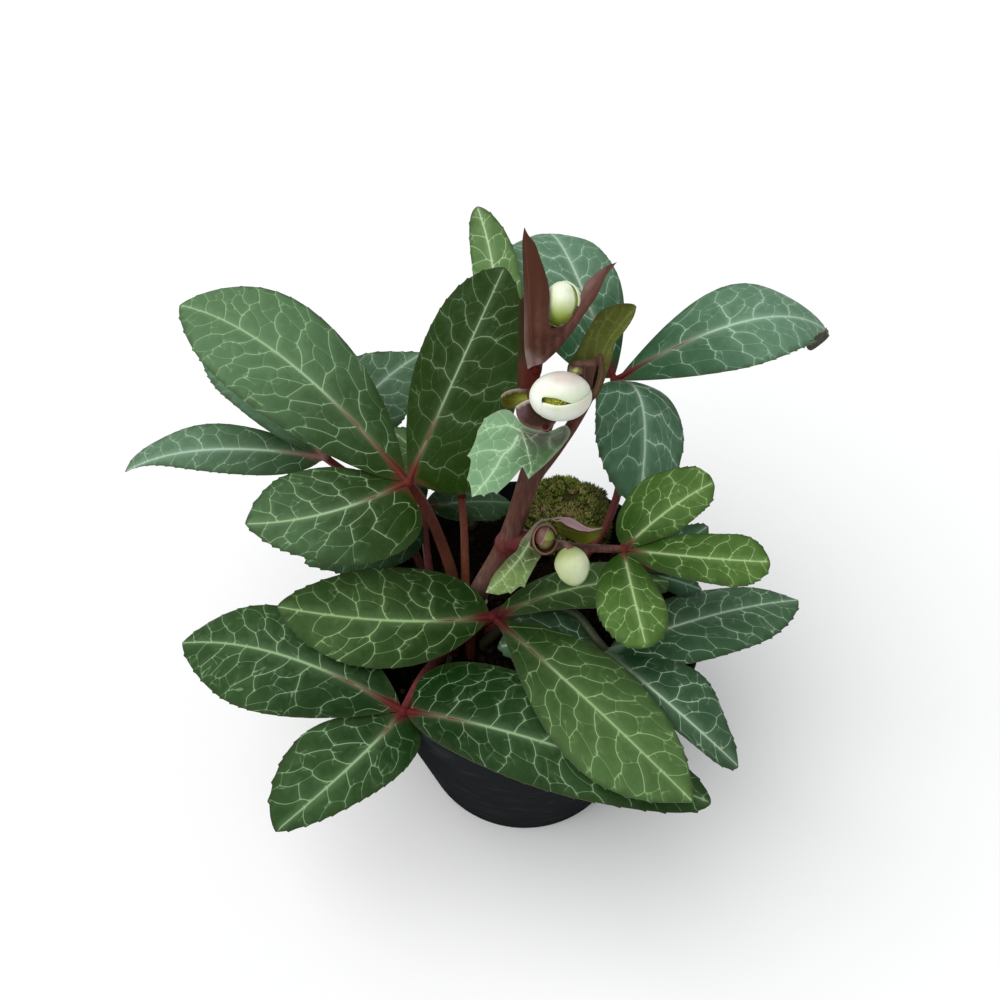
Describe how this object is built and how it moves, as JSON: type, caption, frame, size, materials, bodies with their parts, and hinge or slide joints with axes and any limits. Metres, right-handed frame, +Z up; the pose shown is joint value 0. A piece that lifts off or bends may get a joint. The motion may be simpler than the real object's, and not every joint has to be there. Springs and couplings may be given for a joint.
{
  "type": "potted hellebore plant",
  "caption": "Young hellebore with toothed, pale-veined leaves and a short stem of white-green buds and purple bracts, growing in a black round nursery pot.",
  "frame": {"origin": "centre of the underside of the pot, on the surface it stands on", "axes": "+Z up along the pot's axis, +X to the right and +Y to the back of the plant as pictured"},
  "size_m": [0.297, 0.211, 0.2505],
  "materials": {
    "pot_plastic": "black, satin, smooth",
    "potting_mix": "damp dark brown peat and bark crumbs",
    "moss": "matt olive green cushion moss with tan dead tips",
    "flower_stem": "satin pinkish brown",
    "leaf_stalk": "satin red-brown, greener towards the foot",
    "leaf_green": "satin dark green with a pale green net of veins and red midrib bases",
    "leaf_bluish": "satin bluish green with a silvery net of veins",
    "leaf_light": "satin yellowish green with a pale net of veins",
    "bract_purple": "satin purple-brown with a pale base",
    "bract_olive": "satin olive brown with yellow-green veins",
    "bract_green": "satin pale green with whitish veins",
    "sepal_white": "satin greenish white, faintly pink at the top",
    "flower_heart": "matt yellow-green",
    "bud_green": "satin pale green, whitish at the nose",
    "shoot_pink": "satin pinkish white"
  },
  "bodies": {
    "root": {"pot": "pot_plastic", "potting_mix": "potting_mix", "moss_cushion": "moss", "crown_shoot": "shoot_pink", "flower_stem": "flower_stem", "stalk_upper_left": "leaf_stalk", "leaf_upper_left": "leaf_green", "stalk_centre": "leaf_stalk", "leaf_centre": "leaf_green", "stalk_front": "leaf_stalk", "leaf_front": "leaf_green", "stalk_right": "leaf_stalk", "leaf_right": "leaf_green", "stalk_rear_right": "leaf_stalk", "leaf_rear_right": "leaf_bluish", "stalk_far_left": "leaf_stalk", "leaf_far_left": "leaf_bluish", "stalk_rear": "leaf_stalk", "leaf_rear": "leaf_light", "stalk_inner_left": "leaf_stalk", "leaf_inner_left": "leaf_bluish", "stalk_inner_right": "leaf_stalk", "leaf_inner_right": "leaf_bluish", "leaf_on_stem": "leaf_light", "bract_purple_tall": "bract_purple", "bract_olive": "bract_olive", "bract_purple_low": "bract_purple", "bract_green_low": "bract_green", "bract_olive_small": "bract_olive", "bract_side_green": "bract_green", "bract_side_purple": "bract_purple", "bract_hood": "bract_purple", "bud_main_sepals": "sepal_white", "bud_main_heart": "flower_heart", "bud_upper": "bud_green", "bud_lower": "bud_green", "bud_small": "bract_purple"}
  },
  "joints": []
}
